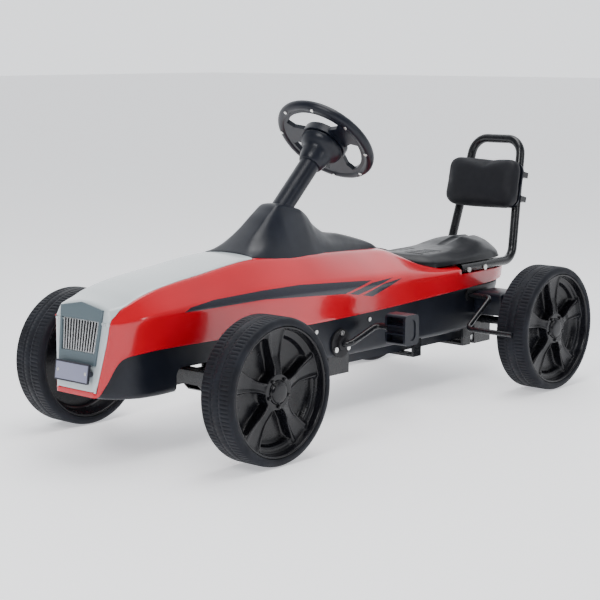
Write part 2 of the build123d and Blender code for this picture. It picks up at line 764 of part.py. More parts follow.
bar_count = 13
bar_half = 1.5
with BuildPart() as grille_bars:
    for number in range(bar_count):
        spread = 2 * number / (bar_count - 1) - 1
        low, high = spread * 37.5, spread * 42
        with BuildSketch(nose_plane.offset(-2)):
            with BuildLine():
                Polyline((low - bar_half, -26), (low + bar_half, -26), (high + bar_half, 26),
                         (high - bar_half, 26), close=True)
            make_face()
        extrude(amount=4)
    for height in (-26, 26):
        with BuildSketch(nose_plane.offset(-3)):
            with Locations((0, height)):
                Rectangle(79 if height < 0 else 88, 2)
        extrude(amount=3)
write(grille_bars.part, "grille_bars")

plate_plane = Plane(origin=(0, nose_y(156), 156), x_dir=(1, 0, 0), z_dir=(0, -1, lean))
plate_plane = plate_plane.offset(plate_stand_off)
with BuildPart() as number_plate:
    with BuildSketch(plate_plane):
        RectangleRounded(84, 34, 3)
    extrude(amount=plate_thickness)
    with BuildSketch(plate_plane.offset(-plate_stand_off)):
        with Locations(*plate_screw_places):
            Circle(5)
    extrude(amount=plate_stand_off)
    with BuildSketch(plate_plane.offset(-10)):
        with Locations(*plate_screw_places):
            Circle(1.6)
    extrude(amount=20, mode=Mode.SUBTRACT)
    with BuildSketch(plate_plane.offset(plate_thickness)):
        with Locations(*plate_screw_places):
            Circle(3.1)
    extrude(amount=-screw_head, mode=Mode.SUBTRACT)
write(number_plate.part, "number_plate")

with BuildPart() as plate_screws:
    with BuildSketch(plate_plane.offset(-8)):
        with Locations(*plate_screw_places):
            Circle(1.6)
    extrude(amount=8 + plate_thickness)
    with BuildSketch(plate_plane.offset(plate_thickness - screw_head)):
        with Locations(*plate_screw_places):
            Circle(3)
    extrude(amount=screw_head)
write(plate_screws.part, "plate_screws")

# ---------------------------------------------------------------- steering cowl and sleeve
cowl_ribs = (
    (-240, (62, 300), (61, 318), (40, 320), 322),
    (-215, (66, 298), (62, 318), (30, 337), 339),
    (-180, (69, 296), (59, 324), (25, 362), 364),
    (-150, (69, 295), (55, 330), (24, 385), 388),
    (-126, (68, 294), (52, 333), (23, 399), 402),
    (-70, (63, 292), (47, 331), (23, 388), 391),
    (-48, (60, 291), (44, 327), (20, 377), 380),
    (-25, (56, 290), (41, 321), (17, 356), 359),
    (16, (50, 288), (36, 314), (15, 335), 338),
    (60, (42, 286), (30, 308), (13, 328), 331),
    (110, (32, 283), (23, 302), (11, 316), 319),
    (160, (18, 280), (14, 294), (8, 302), 304),
    (184, (8, 278), (7, 287), (4, 291), 292),
)


def column_rod(near, far, r):
    """A round rod on the steering axis between two depths below the steering wheel's centre."""
    with BuildPart() as rod:
        with BuildSketch(steer_plane.offset(-far)):
            Circle(r)
        extrude(amount=far - near)
    return rod.part


cowl = loft_ribs(cowl_ribs) - loft_ribs(cowl_ribs[1:-1], skin) - envelope
cowl -= column_rod(40, 300, sleeve_r)
write(cowl, "steering_cowl")

sleeve_top = 66.0
sleeve_end = 215.0
column_sleeve = column_rod(sleeve_top, sleeve_end, sleeve_r)
column_sleeve -= column_rod(sleeve_top - 1, sleeve_end + 1, sleeve_r - 6)
write(column_sleeve, "column_sleeve")

# ---------------------------------------------------------------- seat
seat_ribs = (
    (215, (8, 255), (9, 270), (5, 275), 277),
    (232, (28, 252), (30, 266), (18, 275), 278),
    (252, (55, 249), (56, 260), (35, 273), 277),
    (282, (80, 249), (79, 258), (55, 272), 276),
    (340, (89, 250.5), (87, 260), (62, 272), 275),
    (395, (89, 250.5), (87, 262), (62, 274), 277),
    (430, (88, 250.5), (85, 264), (60, 280), 285),
    (465, (85, 250.5), (80, 266), (52, 285), 291),
    (500, (76, 250.5), (70, 264), (42, 283), 291),
    (522, (62, 250.5), (56, 262), (34, 275), 281),
    (537, (46, 250.5), (41, 256), (26, 262), 266),
)
seat = loft_ribs(seat_ribs) - loft_ribs(seat_ribs[1:-1], 4) - envelope
write(seat, "seat")

# ---------------------------------------------------------------- backrest
with BuildPart() as backrest_frame:
    with BuildLine() as loop_path:
        FilletPolyline((leg_x, leg_front_y, leg_z), (leg_x, leg_rear_y, leg_z),
                       (loop_x, loop_y, loop_z), (-loop_x, loop_y, loop_z),
                       (-leg_x, leg_rear_y, leg_z), (-leg_x, leg_front_y, leg_z), radius=36)
    with BuildSketch(Plane(origin=loop_path.line @ 0, z_dir=loop_path.line % 0)):
        Circle(tube_r)
        Circle(tube_r - 2, mode=Mode.SUBTRACT)
    sweep()
    for y in seat_bar_ys:
        add(rod_x(-100, 100, y, seat_bar_z, 3), mode=Mode.SUBTRACT)
write(backrest_frame.part, "backrest_frame")

bolt_head_x = leg_x + tube_r
backrest_bolts = []
for y in seat_bar_ys:
    bolt = rod_x(leg_x - 25, bolt_head_x, y, seat_bar_z, 3)
    bolt += rod_x(bolt_head_x, bolt_head_x + 3, y, seat_bar_z, 5.5)
    backrest_bolts.append(both_sides(bolt))
write(group(*backrest_bolts), "backrest_bolts")

leg_rise = Vector(0, loop_y - leg_rear_y, loop_z - leg_z).normalized()
pad_y = leg_rear_y + (pad_z - leg_z) * leg_rise.Y / leg_rise.Z
pad_plane = Plane(origin=(0, pad_y, pad_z), x_dir=(1, 0, 0), z_dir=(0, -leg_rise.Z, leg_rise.Y))
board_plane = pad_plane.offset(tube_r)
with BuildPart() as backrest_board:
    with BuildSketch(board_plane):
        RectangleRounded(pad_width - 10, pad_height - 10, 22)
    extrude(amount=board_t)
    with BuildSketch(board_plane):
        with Locations(*pad_screw_places):
            Circle(2)
    extrude(amount=board_t, mode=Mode.SUBTRACT)
write(backrest_board.part, "backrest_board")

with BuildPart() as backrest_pad:
    with BuildSketch(board_plane.offset(board_t)):
        RectangleRounded(pad_width, pad_height, 26)
    extrude(amount=pad_depth)
    fillet(backrest_pad.faces().sort_by(Axis.Y)[0].edges(), 12)
write(backrest_pad.part, "backrest_pad")

with BuildPart() as pad_straps:
    for height in (-26, 26):
        strap_x = leg_x - (leg_x - loop_x) * (pad_z + height - leg_z) / (loop_z - leg_z)
        for hand in (-1, 1):
            with BuildSketch(board_plane.offset(-2 * tube_r - 1.5)):
                with Locations((hand * strap_x, height)):
                    Rectangle(34, 12)
            extrude(amount=1.5)
            for end in (-15.5, 15.5):
                with BuildSketch(board_plane.offset(-2 * tube_r)):
                    with Locations((hand * strap_x + end, height)):
                        Rectangle(3, 12)
                extrude(amount=2 * tube_r)
write(pad_straps.part, "pad_straps")

# ---------------------------------------------------------------- steering wheel and column
with BuildPart() as steering_wheel:
    with BuildSketch(steer_plane.offset(-7)):
        Circle(core_r - 8)
        for angle in spoke_angles:
            with BuildLine():
                Polyline(*(turned(point, angle) for point in
                           ((30, -25), (62, -21), (82, -34), (82, 34), (62, 21), (30, 25))),
                         close=True)
            make_face()
        with BuildSketch(mode=Mode.ADD):
            Circle(ring_r)
            Circle(80, mode=Mode.SUBTRACT)
    extrude(amount=9)
    with BuildSketch(steer_plane.offset(-core_depth)):
        Circle(core_r)
    extrude(amount=core_depth + 3)
    with BuildSketch(Plane(origin=steer_plane.from_local_coords(Vector(ring_r, 0, 0)),
                           x_dir=(1, 0, 0), z_dir=steer_plane.y_dir)):
        Circle(ring_tube_r)
    revolve(axis=Axis(steer_centre, steer_axis))
    with BuildSketch(steer_plane.offset(-ring_tube_r - 2)):
        with PolarLocations(ring_r, ring_screws, start_angle=ring_screw_angle):
            Circle(2)
    extrude(amount=8, mode=Mode.SUBTRACT)
write(steering_wheel.part, "steering_wheel")

with BuildPart() as steering_screws:
    with BuildSketch(steer_plane.offset(-ring_tube_r)):
        with PolarLocations(ring_r, ring_screws, start_angle=ring_screw_angle):
            Circle(2)
    extrude(amount=6)
    with BuildSketch(steer_plane.offset(-ring_tube_r - 1.5)):
        with PolarLocations(ring_r, ring_screws, start_angle=ring_screw_angle):
            Circle(3.2)
    extrude(amount=1.5)
write(steering_screws.part, "steering_screws")

with BuildPart() as steering_boss:
    with BuildSketch(steer_plane.offset(-sleeve_top + 0.4)):
        Circle(22)
    with BuildSketch(steer_plane.offset(-core_depth)):
        Circle(core_r - 3)
    loft()
write(steering_boss.part - column_rod(0, 100, column_r), "steering_boss")

with BuildPart() as steering_cap:
    with BuildSketch(steer_plane.offset(3)):
        Circle(28)
    extrude(amount=5)
    fillet(steering_cap.edges().group_by(Axis(steer_centre, steer_axis))[-1], 3)
write(steering_cap.part, "steering_cap")

with BuildPart() as steering_column:
    add(column_rod(core_depth, pitman_depth, column_r))
    with BuildSketch(steer_plane.offset(-pitman_depth - 3)):
        Circle(18)
        with Locations((0, 26)):
            Rectangle(30, 52)
        with Locations((0, pitman_r + 3)):
            Rectangle(2 * ball_r + 1.4, 26, mode=Mode.SUBTRACT)
    extrude(amount=6)
write(steering_column.part, "steering_column")

# ---------------------------------------------------------------- brake
with BuildPart() as brake_bar:
    with BuildLine() as brake_path:
        FilletPolyline((-wheel_x - 14, brake_bar_y, brake_bar_z),
                       (-brake_arm_x, brake_bar_y, brake_bar_z), (-brake_arm_x, brake_y, brake_z),
                       (brake_arm_x, brake_y, brake_z), (brake_arm_x, brake_bar_y, brake_bar_z),
                       (wheel_x + 14, brake_bar_y, brake_bar_z), radius=12)
    with BuildSketch(Plane(origin=brake_path.line @ 0, z_dir=brake_path.line % 0)):
        Circle(brake_bar_r)
    sweep()
    add(side_prism(((brake_y - 9, brake_z - 9), (brake_y + 9, brake_z - 7), (brake_y - 6, 236),
                    (brake_y - 18, 236)), -brake_lever_x - 3, 3 - brake_lever_x))
write(brake_bar.part, "brake_bar")

with BuildPart() as brake_grip:
    with BuildSketch(Plane.XY.offset(228)):
        with Locations((-brake_lever_x, brake_y - 12)):
            RectangleRounded(14, 22, 5)
    extrude(amount=30)
    fillet(brake_grip.faces().sort_by(Axis.Z)[-1].edges(), 4)
    add(brake_bar.part, mode=Mode.SUBTRACT)
write(brake_grip.part, "brake_grip")

with BuildPart() as brake_bush:
    with BuildSketch(across(side_plate_x - plate_t)):
        with Locations((brake_y, brake_z)):
            Circle(brake_bush_r)
            Circle(brake_bar_r + gap, mode=Mode.SUBTRACT)
    extrude(amount=tub_half - side_plate_x + plate_t)
    with BuildSketch(across(tub_half)):
        with Locations((brake_y, brake_z)):
            Circle(brake_bush_r + 4)
            Circle(brake_bar_r + gap, mode=Mode.SUBTRACT)
    extrude(amount=2)
write(both_sides(brake_bush.part), "brake_bushes")
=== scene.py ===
"""The looks of the pedal go kart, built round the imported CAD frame.

Lengths in the tables are millimetres in the CAD frame (+Z up, front -Y, driver's left +X) and
become metres when a mesh is made.
"""

import json
import math

import bmesh
import bpy
import numpy as np
from mathutils import Matrix, Vector


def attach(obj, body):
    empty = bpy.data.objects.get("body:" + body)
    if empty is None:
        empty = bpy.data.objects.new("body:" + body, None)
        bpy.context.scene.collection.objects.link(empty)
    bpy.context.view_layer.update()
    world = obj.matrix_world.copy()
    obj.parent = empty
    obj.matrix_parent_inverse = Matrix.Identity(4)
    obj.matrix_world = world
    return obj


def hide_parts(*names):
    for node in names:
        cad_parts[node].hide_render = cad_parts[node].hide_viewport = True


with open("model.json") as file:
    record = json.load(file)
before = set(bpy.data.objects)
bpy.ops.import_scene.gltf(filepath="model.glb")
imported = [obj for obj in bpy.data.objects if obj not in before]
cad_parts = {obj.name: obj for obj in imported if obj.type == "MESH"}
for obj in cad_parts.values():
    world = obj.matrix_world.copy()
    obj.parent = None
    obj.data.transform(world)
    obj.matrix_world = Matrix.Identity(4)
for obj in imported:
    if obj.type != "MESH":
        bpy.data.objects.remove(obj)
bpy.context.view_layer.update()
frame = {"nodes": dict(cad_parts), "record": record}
nodes = frame["nodes"]
MM = 0.001

# ---------------------------------------------------------------- driving dimensions
WHEEL_X = 235.0
AXLE_Z = 125.0
FRONT_Y = -390.0
REAR_Y = 440.0
SPOKES = 5
NOSE_LOW = (-602.5, 120.0)
LEAN = 20.5 / 142.0
STEER_TILT = math.radians(44)
STEER_CENTRE = np.array((0.0, 30.0, 512.0))
HOOD_REAR_Y = -238.0
SKIN = 3.0
SHARP_EDGE = math.radians(50)
CORNER_SOFT = 0.16
NOSE_RADIUS = 9.0
ROUNDING_STEPS = 7
PAD_SHRINK = 0.985
PAD_VOXEL = 5.0
PAD_SWELL = 6.0
CLOTH_FRAMES = 20


# ---------------------------------------------------------------- mesh helpers
def make_object(name, points, faces, smooth=True):
    """A mesh object from millimetre points and index faces."""
    mesh = bpy.data.meshes.new(name)
    mesh.from_pydata([tuple(float(c) * MM for c in p) for p in points], [], faces)
    mesh.validate()
    mesh.update()
    for polygon in mesh.polygons:
        polygon.use_smooth = smooth
    made = bpy.data.objects.new(name, mesh)
    bpy.context.scene.collection.objects.link(made)
    return made


def fix_normals(obj):
    """Make every face look outwards."""
    bm = bmesh.new()
    bm.from_mesh(obj.data)
    bmesh.ops.remove_doubles(bm, verts=bm.verts, dist=0.00002)
    bmesh.ops.recalc_face_normals(bm, faces=bm.faces)
    bm.to_mesh(obj.data)
    bm.free()


def grid_faces(rows, columns, close_rows=False, close_columns=False):
    """Quads of a grid of points stored row by row."""
    faces = []
    for r in range(rows if close_rows else rows - 1):
        for c in range(columns if close_columns else columns - 1):
            r2, c2 = (r + 1) % rows, (c + 1) % columns
            faces.append((r * columns + c, r * columns + c2, r2 * columns + c2, r2 * columns + c))
    return faces


def modifier(obj, kind, **settings):
    """Add one modifier with its settings."""
    added = obj.modifiers.new(kind.lower(), kind)
    for key, value in settings.items():
        setattr(added, key, value)
    return added


def bevelled(obj, width, segments=2, angle=35.0):
    """Round an object's edges, and shade it smooth between them."""
    modifier(obj, "BEVEL", width=width * MM, segments=segments, limit_method="ANGLE",
             angle_limit=math.radians(angle), harden_normals=True, use_clamp_overlap=True)
    for polygon in obj.data.polygons:
        polygon.use_smooth = True


def apply_modifiers(obj):
    """Replace the object's mesh by what its modifiers make of it."""
    graph = bpy.context.evaluated_depsgraph_get()
    mesh = bpy.data.meshes.new_from_object(obj.evaluated_get(graph))
    obj.modifiers.clear()
    obj.data = mesh


def joined(name, *parts):
    """Join mesh objects into one."""
    bm = bmesh.new()
    for part in parts:
        bm.from_mesh(part.data)
    mesh = bpy.data.meshes.new(name)
    bm.to_mesh(mesh)
    bm.free()
    for part in parts:
        bpy.data.objects.remove(part)
    made = bpy.data.objects.new(name, mesh)
    bpy.context.scene.collection.objects.link(made)
    return made


def finish_piece(obj, body, material, slot_name, *replaced):
    """Give a piece its material and body, and hide the CAD nodes it stands for; slot_name is not used.
    """
    obj.data.materials.clear()
    obj.data.materials.append(material)
    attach(obj, body)
    if replaced:
        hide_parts(*replaced)
    return obj


def track(knots, values, at):
    """Smooth values between knots without overshoot (monotone cubic)."""
    x = np.asarray(knots, float)
    y = np.asarray(values, float)
    h = np.diff(x)
    d = np.diff(y, axis=0) / (h[:, None] if y.ndim > 1 else h)
    m = np.zeros_like(y)
    m[0], m[-1] = d[0], d[-1]
    same = d[:-1] * d[1:] > 0
    with np.errstate(divide="ignore", invalid="ignore"):
        m[1:-1] = np.where(same, 2 * d[:-1] * d[1:] / (d[:-1] + d[1:]), 0.0)
    at = np.clip(np.asarray(at, float), x[0], x[-1])
    i = np.clip(np.searchsorted(x, at, side="right") - 1, 0, len(x) - 2)
    width = h[i]
    t = (at - x[i]) / width
    if y.ndim > 1:
        t, width = t[..., None], width[..., None]
    return ((2 * t**3 - 3 * t**2 + 1) * y[i] + (t**3 - 2 * t**2 + t) * width * m[i]
            + (3 * t**2 - 2 * t**3) * y[i + 1] + (t**3 - t**2) * width * m[i + 1])


def cut(bm, value):
    """Split faces along the line where value(point in millimetres) is zero."""
    side = {v: value(v.co / MM) for v in bm.verts}
    for edge in list(bm.edges):
        a, b = edge.verts
        fa, fb = side[a], side[b]
        if fa * fb >= 0 or min(abs(fa), abs(fb)) < 1e-6:
            continue
        share = fa / (fa - fb)
        _, fresh = bmesh.utils.edge_split(edge, a, share)
        side[fresh] = 0.0
    for face in list(bm.faces):
        on_line = [v for v in face.verts if abs(side[v]) < 1e-6]
        if len(on_line) == 2 and not any(e.other_vert(on_line[0]) is on_line[1]
                                         for e in on_line[0].link_edges):
            bmesh.utils.face_split(face, on_line[0], on_line[1])


def keep(bm, wanted):
    """Delete the faces whose centre (in millimetres) isn't wanted."""
    doomed = [f for f in bm.faces if not wanted(f.calc_center_median() / MM)]
    bmesh.ops.delete(bm, geom=doomed, context="FACES")


def copy_mesh(source, name):
    """A new object with its own copy of a mesh."""
    made = bpy.data.objects.new(name, source.data.copy())
    bpy.context.scene.collection.objects.link(made)
    return made


# ---------------------------------------------------------------- materials
class Shader:
    """A node material with one Principled shader and short calls for what drives it."""

    def __init__(self, name, **settings):
        self.material = bpy.data.materials.new(name)
        self.material.use_nodes = True
        self.tree = self.material.node_tree
        self.main = self.tree.nodes["Principled BSDF"]
        for key, value in settings.items():
            self.main.inputs[key.replace("_", " ")].default_value = value
        self.place = self.add("ShaderNodeTexCoord").outputs["Object"]

    def add(self, kind, **inputs):
        """Add a node, and set or link its inputs."""
        node = self.tree.nodes.new(kind)
        for key, value in inputs.items():
            socket = node.inputs[int(key[1:])] if key[0] == "_" else node.inputs[key]
            self.feed(socket, value)
        return node

    def feed(self, socket, value):
        """Link an output to a socket, or set the socket's own value."""
        if isinstance(value, bpy.types.NodeSocket):
            self.tree.links.new(value, socket)
        else:
            socket.default_value = value

    def noise(self, scale, detail=3.0, rough=0.5, place=None):
        """Noise between 0 and 1; scale is in features per metre."""
        return self.add("ShaderNodeTexNoise", Vector=place or self.place, Scale=scale,
                        Detail=detail, Roughness=rough).outputs["Fac"]

    def span(self, value, low, high, start=0.0, end=1.0):
        """Map a value from one range to another."""
        node = self.add("ShaderNodeMapRange", Value=value)
        for index, number in enumerate((start, end, low, high), 1):
            node.inputs[index].default_value = number
        return node.outputs[0]

    def math(self, operation, a, b=0.0):
        """One arithmetic step."""
        node = self.add("ShaderNodeMath", _0=a, _1=b)
        node.operation = operation
        return node.outputs[0]

    def mix(self, share, first, second):
        """Mix two colours."""
        node = self.add("ShaderNodeMix", Factor=share)
        node.data_type = "RGBA"
        self.feed(node.inputs[6], first)
        self.feed(node.inputs[7], second)
        return node.outputs[2]

    def colour(self, value):
        """Drive the base colour."""
        self.feed(self.main.inputs["Base Color"], value)

    def roughness(self, value):
        """Drive the roughness."""
        self.feed(self.main.inputs["Roughness"], value)

    def bump(self, height, depth_mm, strength=1.0):
        """Bump the surface by a height between 0 and 1."""
        node = self.add("ShaderNodeBump", Height=height, Strength=strength, Distance=depth_mm * MM)
        if self.main.inputs["Normal"].is_linked:
            self.feed(node.inputs["Normal"], self.main.inputs["Normal"].links[0].from_socket)
        self.feed(self.main.inputs["Normal"], node.outputs[0])


    def patch(self, points, sideways=(0, 1, 0)):
        """1 inside a convex outline of (sideways, z) points in millimetres, 0 outside."""
        inside = None
        for (a0, z0), (a1, z1) in zip(points, points[1:] + points[:1]):
            across = Vector(sideways) * (z0 - z1) + Vector((0, 0, a1 - a0))
            node = self.add("ShaderNodeVectorMath", _0=self.place, _1=across)
            node.operation = "DOT_PRODUCT"
            limit = ((z0 - z1) * a0 + (a1 - a0) * z0) * MM
            hit = self.math("GREATER_THAN", node.outputs["Value"], limit)
            inside = self.math("MULTIPLY", inside, hit) if inside else hit
        return inside


def rgb(r, g, b):
    """A colour with full alpha."""
    return (r, g, b, 1.0)


def gloss_plastic(name, base, darker, rough=0.16, coat=0.5, print_mask=None, keep_inside=False):
    """Glossy plastic: faint cloudiness, orange peel, handling marks and an optional dark print."""
    shader = Shader(name, Coat_Weight=coat, Coat_Roughness=0.06)
    cloud = shader.noise(6, 2)
    colour = shader.mix(shader.span(cloud, 0, 1, 0.35, 0.65), base, darker)
    if print_mask:
        mask = print_mask(shader)
        ink = rgb(0.010, 0.011, 0.022)
        colour = shader.mix(mask, ink, colour) if keep_inside else shader.mix(mask, colour, ink)
    shader.colour(colour)
    marks = shader.noise(90, 6, 0.7)
    shader.roughness(shader.span(marks, rough, rough + 0.09, 0.4, 0.75))
    shader.bump(shader.noise(260, 2), 0.05, 0.35)
    return shader


def moulded(name, base, paler, rough=0.42, grain=900, depth=0.06):
    """Satin moulded plastic with a fine grain and paler rubbed patches."""
    shader = Shader(name, Specular_IOR_Level=0.32)
    wear = shader.span(shader.noise(9, 5, 0.65), 0, 1, 0.45, 0.75)
    shader.colour(shader.mix(wear, base, paler))
    shader.roughness(shader.span(shader.noise(60, 4), rough - 0.03, rough + 0.05, 0.3, 0.7))
    shader.bump(shader.noise(grain, 2), depth, 0.5)
    return shader


def powder_coat(name, base):
    """Gloss black powder coat with orange peel."""
    shader = Shader(name, Coat_Weight=0.2, Coat_Roughness=0.1, Specular_IOR_Level=0.35)
    shader.colour(shader.mix(shader.noise(14, 3), base, rgb(0.011, 0.012, 0.015)))
    shader.roughness(shader.span(shader.noise(70, 4), 0.2, 0.34, 0.3, 0.7))
    shader.bump(shader.noise(420, 2), 0.03, 0.4)
    return shader


def plated(name, base, rough=0.22):
    """Bright zinc or chrome with fine brushing and dull specks."""
    shader = Shader(name, Metallic=1.0)
    specks = shader.span(shader.noise(150, 5, 0.7), 0, 1, 0.5, 0.75)
    shader.colour(shader.mix(specks, base, rgb(0.42, 0.42, 0.41)))
    shader.roughness(shader.span(shader.noise(300, 4), rough, rough + 0.16, 0.35, 0.7))
    shader.bump(shader.noise(700, 2), 0.03, 0.4)
    return shader


def tyre_rubber():
    """Matte tyre compound with a dusty bloom."""
    shader = Shader("tyre_rubber", Specular_IOR_Level=0.2)
    bloom = shader.span(shader.noise(18, 6, 0.7), 0, 1, 0.4, 0.8)
    shader.colour(shader.mix(bloom, rgb(0.006, 0.0068, 0.0105), rgb(0.015, 0.0175, 0.025)))
    shader.roughness(shader.span(shader.noise(45, 4), 0.5, 0.68, 0.3, 0.7))
    shader.bump(shader.noise(1100, 3), 0.09, 0.6)
    return shader


def pad_vinyl():
    """Matte leatherette: fine pebbled grain over soft creases."""
    shader = Shader("pad_vinyl", Specular_IOR_Level=0.25)
    cells = shader.add("ShaderNodeTexVoronoi", Vector=shader.place, Scale=620.0)
    shader.colour(shader.mix(shader.noise(25, 4), rgb(0.0055, 0.006, 0.009), rgb(0.010, 0.011, 0.015)))
    shader.roughness(shader.span(shader.noise(80, 4), 0.5, 0.64, 0.3, 0.7))
    shader.bump(cells.outputs["Distance"], 0.12, 0.6)
    shader.bump(shader.noise(40, 3), 0.5, 0.25)
    return shader


STRIPE = (
    [(-445, 246.5), (-250, 246.5), (-250, 262.5), (-373, 260), (-430, 253.5)],
    [(-250.5, 246.5), (-26, 231), (56, 248), (-152, 261.6), (-250.5, 262.5)],
    [(-14, 229.5), (14, 224.5), (124, 246.5), (55, 243.5)],
    [(27, 222), (58, 216.5), (150, 243), (90, 238)])


def stripe_print(shader):
    """Both sides' dark stripe: a long tapering band and two slanted blades."""
    total = None
    for outline in STRIPE:
        part = shader.patch(outline)
        total = shader.math("MAXIMUM", total, part) if total else part
    split = shader.add("ShaderNodeSeparateXYZ", Vector=shader.place)
    off_centre = shader.math("ABSOLUTE", split.outputs["X"])
    return shader.math("MULTIPLY", total, shader.math("GREATER_THAN", off_centre, 0.07))


def plate_border(shader):
    """The pale field of the number plate inside its dark border."""
    field = shader.patch([(-39.4, 143.6), (39.4, 143.6), (39.4, 171.4), (-39.4, 171.4)], (1, 0, 0))
    front = shader.patch([(-640, 143.6), (-611.2, 143.6), (-607.2, 171.4), (-640, 171.4)])
    return shader.math("MULTIPLY", field, front)


RED = gloss_plastic("red_plastic", rgb(0.62, 0.0004, 0.014), rgb(0.54, 0.0002, 0.011), 0.15, 0.25,
                    stripe_print)
WHITE = gloss_plastic("white_plastic", rgb(0.60, 0.655, 0.67), rgb(0.55, 0.61, 0.63), 0.2, 0.5)
GREY = gloss_plastic("grille_grey", rgb(0.105, 0.145, 0.165), rgb(0.085, 0.12, 0.14), 0.3, 0.2)
PLATE = gloss_plastic("plate_plastic", rgb(0.30, 0.31, 0.42), rgb(0.24, 0.25, 0.36), 0.3, 0.2,
                      plate_border, keep_inside=True)
BLACK = moulded("black_plastic", rgb(0.006, 0.0078, 0.014), rgb(0.012, 0.015, 0.024), 0.34)
BUSH = moulded("bush_plastic", rgb(0.012, 0.012, 0.014), rgb(0.022, 0.022, 0.026), 0.5)
SEAT = moulded("seat_plastic", rgb(0.005, 0.006, 0.009), rgb(0.0065, 0.0078, 0.011), 0.36, 700, 0.01)
WHEEL = moulded("wheel_plastic", rgb(0.005, 0.005, 0.007), rgb(0.012, 0.013, 0.017), 0.24, 800, 0.04)
STEEL = powder_coat("black_steel", rgb(0.005, 0.0058, 0.008))
ZINC = plated("zinc_steel", rgb(0.72, 0.72, 0.7))
CHROME = plated("bright_trim", rgb(0.86, 0.87, 0.88), 0.12)
RUBBER = tyre_rubber()
VINYL = pad_vinyl()
FINISHES = {"red_plastic": RED, "white_plastic": WHITE, "grille_grey": GREY,
            "plate_plastic": PLATE, "black_plastic": BLACK, "bush_plastic": BUSH,
            "seat_plastic": SEAT, "wheel_plastic": WHEEL, "black_steel": STEEL,
            "zinc_steel": ZINC, "bright_trim": CHROME, "tyre_rubber": RUBBER,
            "pad_vinyl": VINYL}


# ---------------------------------------------------------------- ribbed surfaces
def corner(points, start, end, steps):
    """A quadratic rounding from start to end round the middle of three points."""
    a, b, c = points
    p, q = b + (a - b) * start, b + (c - b) * end
    t = np.linspace(0, 1, steps)[:, None]
    return (1 - t) ** 2 * p + 2 * t * (1 - t) * b + t**2 * q


def half_section(rib, soft_mid, soft_high, counts):
    """Points from the lower edge up to the middle line for one rib's seven numbers."""
    low, mid, high = (np.array(rib[k:k + 2]) for k in (0, 2, 4))
    top = np.array((0.0, rib[6]))
    n_side, n_mid, n_slope, n_high, n_top = counts
    shoulder = corner((low, mid, high), soft_mid, soft_mid, n_mid)
    rim_target = np.array((high[0] * 0.5, high[1] + (top[1] - high[1]) * 0.75))
    seam = corner((mid, high, rim_target), soft_high, soft_high * 1.6, n_high)
    side = low + (shoulder[0] - low) * np.linspace(0, 1, n_side, endpoint=False)[:, None]
    slope_t = np.linspace(0, 1, n_slope + 2)[1:-1, None]
    slope = shoulder[-1] + (seam[0] - shoulder[-1]) * slope_t
    t = np.linspace(0, 1, n_top + 1)[1:, None]
    start = seam[-1]
    x = start[0] * (1 - t)
    z = top[1] - (top[1] - start[1]) * (1 - t) ** 2
    return np.vstack((side, shoulder, slope, seam, np.hstack((x, z))))


def mirrored_section(half):
    """The whole section from the right lower edge over the top to the left one."""
    return np.vstack((half, half[-2::-1] * np.array((-1, 1))))


BODY_RIBS = (
    (-612, 40, 112, 44, 238, 34, 252, 262),
    (-590, 54, 112, 62, 240, 50, 261, 268),
    (-575, 62, 114, 73, 240, 60, 264, 273),
    (-555, 68, 118, 84, 242, 67, 268, 277),
    (-525, 77, 140, 93, 246, 68, 279, 286),
    (-470, 85, 165, 99, 250, 66, 292, 298),
    (-390, 89, 176, 102, 252, 65, 302, 307),
    (-238, 90, 178, 103, 252, 62, 317, 321),
    (-100, 90, 178, 101, 250, 60, 309, 314),
    (40, 90, 180, 100, 248, 44, 300, 305),
    (130, 90, 182, 99, 246, 32, 293, 297),
    (180, 90, 184, 99, 245, 31, 287, 291),
    (215, 90, 186, 98, 243, 46, 272, 276),
    (250, 90, 188, 98, 240, 68, 255, 258),
    (300, 90, 190, 97, 237, 82, 246, 247),
    (400, 89, 193, 96, 237, 82, 246, 247),
    (470, 84, 197, 91, 238, 79, 246, 247),
    (512, 73, 200, 79, 238, 69, 245, 246),
    (532, 60, 201, 64, 236, 56, 243, 244),
    (540, 50, 202, 54, 232, 47, 239, 240),
)
BODY_COUNTS = (9, 9, 5, 5, 9)
END_COLUMNS = 33


def nose_y(z):
    """Where the leaning front face stands at height z."""
    return NOSE_LOW[0] + LEAN * (z - NOSE_LOW[1])


def offset_inwards(section, amount):
    """Move an open section outline inwards along its own normals."""
    ahead = np.gradient(section, axis=0)
    normal = np.stack((ahead[:, 1], -ahead[:, 0]), 1)
    normal /= np.linalg.norm(normal, axis=1)[:, None] + 1e-9
    centre = section.mean(0)
    flip = np.sign(((centre - section) * normal).sum(1).mean())
    return section + normal * flip * amount


